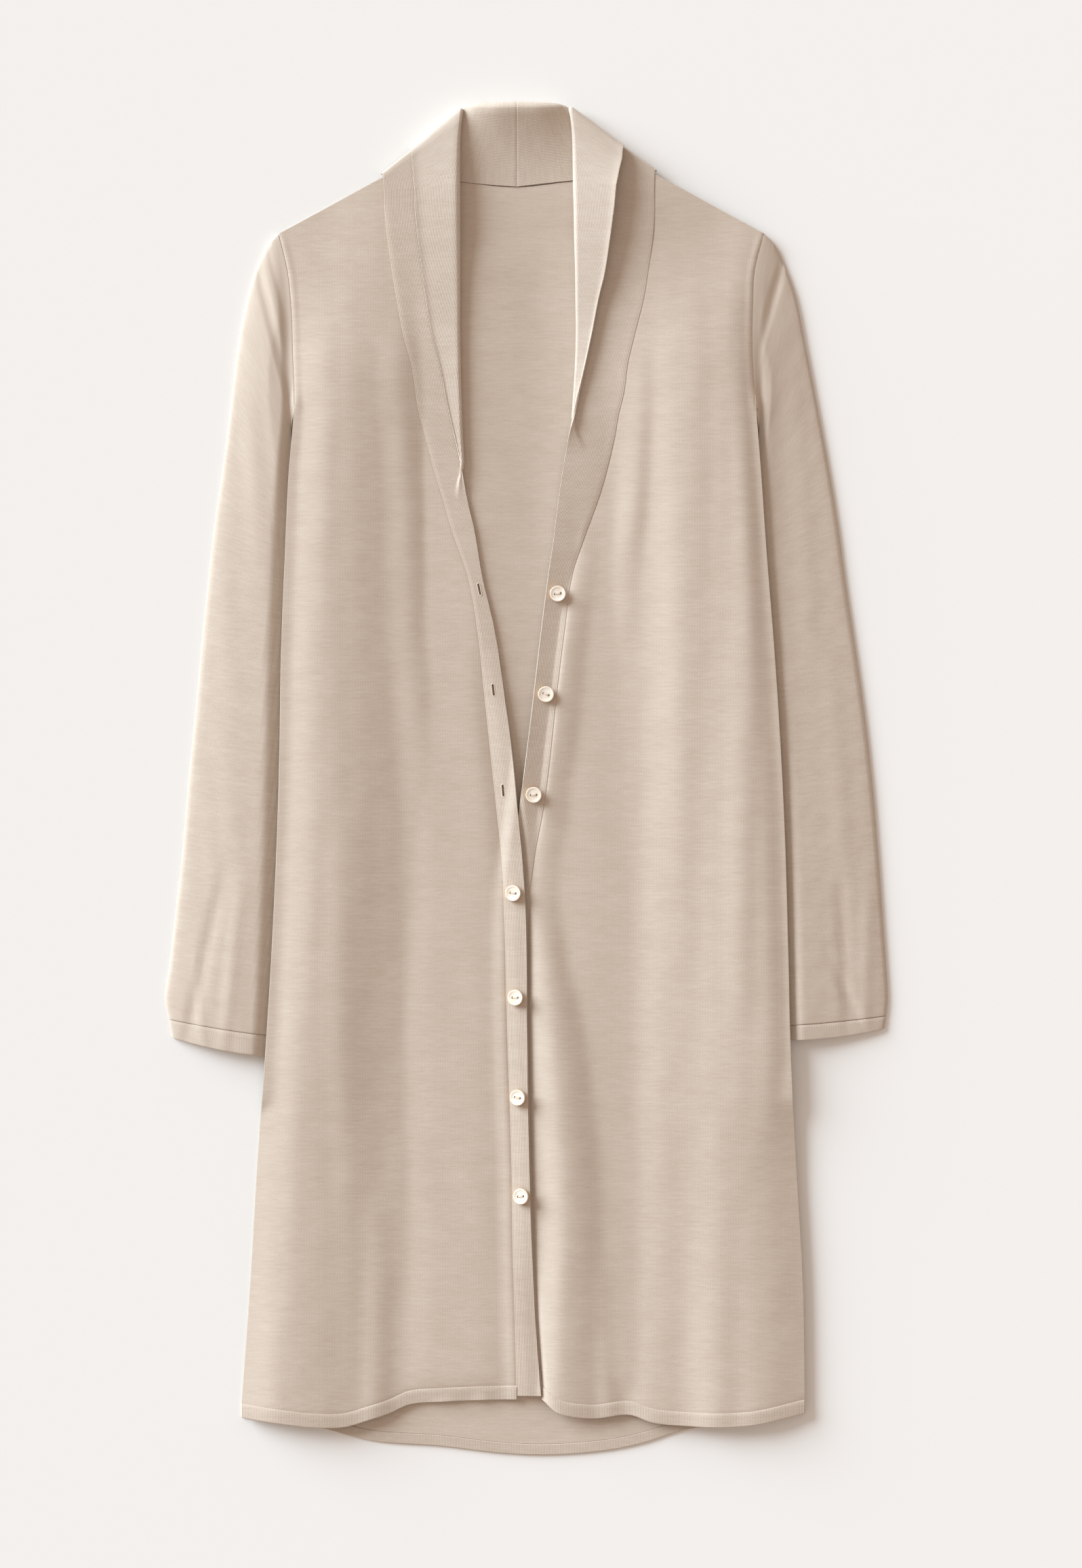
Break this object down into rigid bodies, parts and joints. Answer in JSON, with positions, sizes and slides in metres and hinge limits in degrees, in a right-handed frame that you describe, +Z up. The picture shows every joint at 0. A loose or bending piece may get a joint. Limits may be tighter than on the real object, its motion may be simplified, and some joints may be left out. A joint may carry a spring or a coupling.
{
  "type": "duster cardigan",
  "caption": "Long open-front fine-knit duster cardigan with shawl collar, narrow bands and shell buttons, laid flat with its front fastened low.",
  "frame": {"origin": "middle of the garment's box on the surface it lies on", "axes": "+Y from hem to neck, +X towards the wearer's left (picture right), +Z up out of the surface"},
  "size_m": [0.5752, 1.0769, 0.015],
  "materials": {
    "knit": "fine heathered beige jersey knit, matt",
    "band_knit": "the same yarn in a closer vertical-wale knit, matt",
    "shell": "polished mother-of-pearl, cream with honey edges"
  },
  "bodies": {
    "root": {"back": "knit", "front_right": "knit", "front_left": "knit", "sleeve_right": "knit", "sleeve_left": "knit", "collar_right": "band_knit", "collar_left": "band_knit", "cuff_right": "band_knit", "cuff_left": "band_knit", "hem_back": "band_knit", "hem_front_right": "band_knit", "hem_front_left": "band_knit", "button_1": "shell", "button_2": "shell", "button_3": "shell", "button_4": "shell", "button_5": "shell", "button_6": "shell", "button_7": "shell"}
  },
  "joints": []
}
